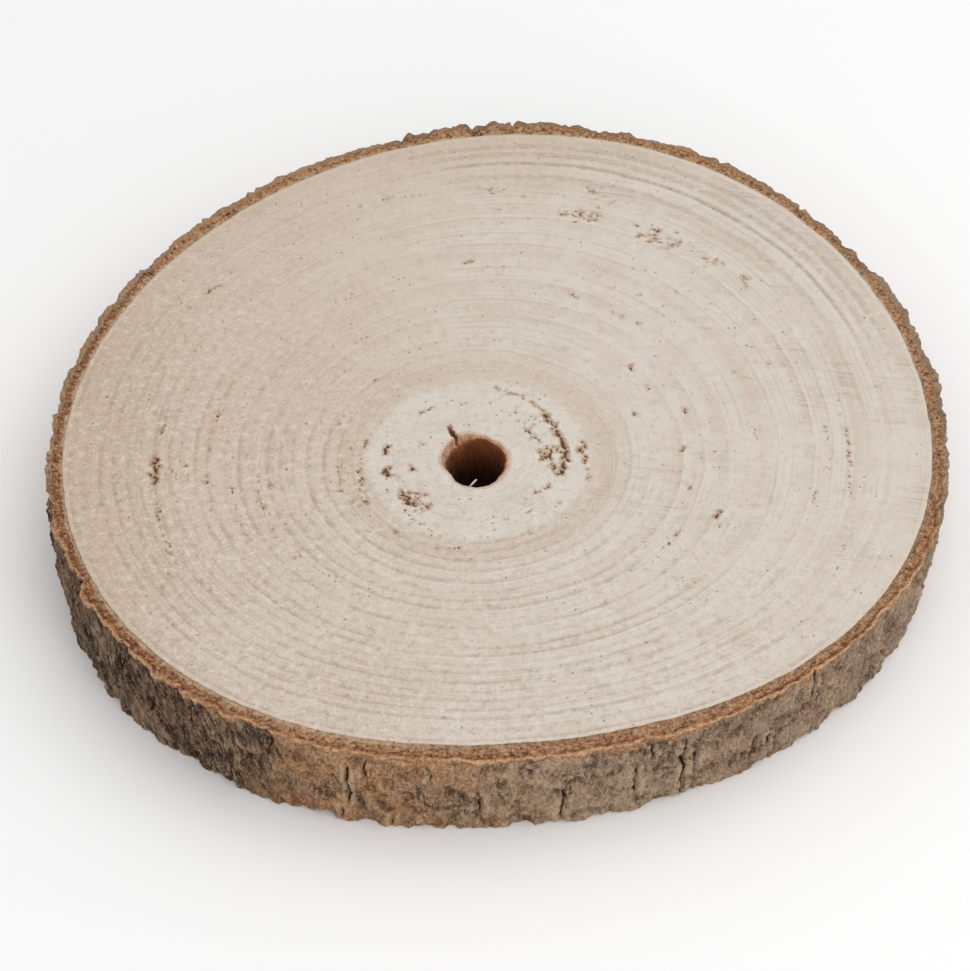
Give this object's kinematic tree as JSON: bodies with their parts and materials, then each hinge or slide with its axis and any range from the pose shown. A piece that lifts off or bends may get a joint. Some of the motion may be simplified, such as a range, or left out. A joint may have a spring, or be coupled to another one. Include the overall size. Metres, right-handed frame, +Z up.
{
  "type": "wood slice",
  "caption": "Round cross-cut slice of a light-coloured trunk, bark left on its edge, with a through hole at its off-centre pith.",
  "frame": {"origin": "centre of the bounding box, on the underside that the slice rests on", "axes": "+Z up along the trunk, from the underside to the upper saw cut; +Y from the narrow-ringed side, which the pith is nearer to, towards the wide-ringed side; +X to the right when seen from above with +Y away"},
  "size_m": [0.2456, 0.2462, 0.029],
  "materials": {
    "wood": "matt, sawn and lightly sanded pale wood with rough grey-brown bark round the edge"
  },
  "bodies": {
    "root": {"wood_slice": "wood"}
  },
  "joints": []
}
